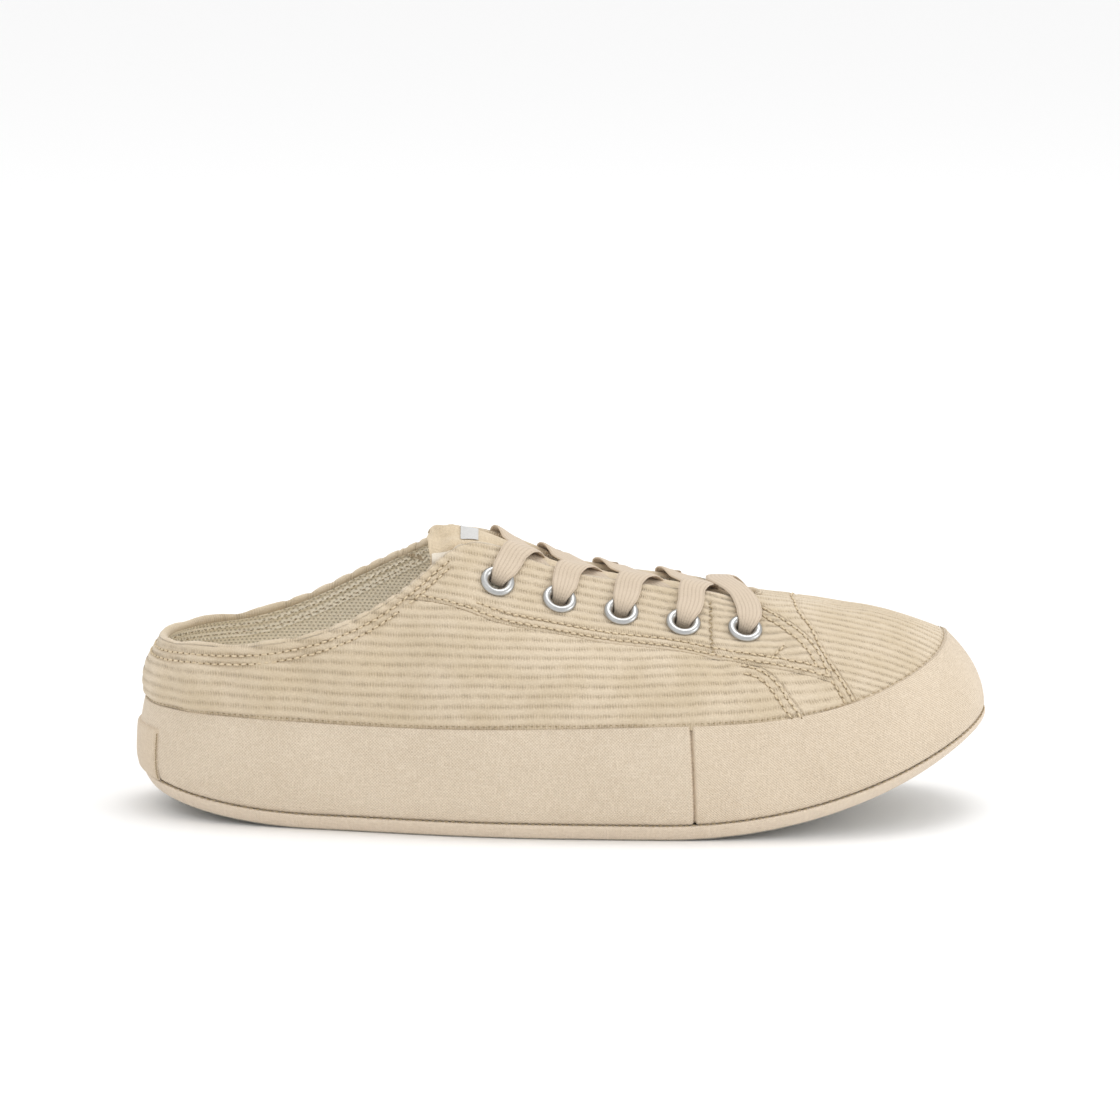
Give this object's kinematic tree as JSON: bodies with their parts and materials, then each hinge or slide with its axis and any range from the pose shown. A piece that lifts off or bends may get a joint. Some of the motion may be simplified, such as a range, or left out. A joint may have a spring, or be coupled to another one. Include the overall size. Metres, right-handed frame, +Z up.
{
  "type": "corduroy sneaker",
  "caption": "Low-backed slip-on sneaker with a corduroy upper, flat laces, metal eyelets and a thick canvas-wrapped sole.",
  "frame": {"origin": "on the floor, under the middle of the shoe's box", "axes": "+X from heel to toe, +Z up, +Y towards the inner (medial) side of the foot"},
  "size_m": [0.272, 0.0979, 0.0917],
  "materials": {
    "sole_rubber": "thin beige rubber underside, matt, with a canvas-covered edge",
    "sole_canvas": "plain-woven beige canvas over foam",
    "lining": "knitted mesh lining and footbed cover",
    "corduroy": "beige cotton corduroy, about eight wales to the inch",
    "tongue_fabric": "soft padded beige cloth",
    "lace_cotton": "flat woven cotton",
    "eyelet_metal": "silver-coloured satin metal"
  },
  "bodies": {
    "root": {"outsole": "sole_rubber", "midsole": "sole_canvas", "insole": "lining", "upper": "corduroy", "tongue": "tongue_fabric", "lace_crossing_1": "lace_cotton", "lace_crossing_2": "lace_cotton", "lace_crossing_3": "lace_cotton", "lace_crossing_4": "lace_cotton", "lace_bar": "lace_cotton", "eyelet_lateral_1": "eyelet_metal", "eyelet_lateral_2": "eyelet_metal", "eyelet_lateral_3": "eyelet_metal", "eyelet_lateral_4": "eyelet_metal", "eyelet_lateral_5": "eyelet_metal", "eyelet_medial_1": "eyelet_metal", "eyelet_medial_2": "eyelet_metal", "eyelet_medial_3": "eyelet_metal", "eyelet_medial_4": "eyelet_metal", "eyelet_medial_5": "eyelet_metal"}
  },
  "joints": []
}
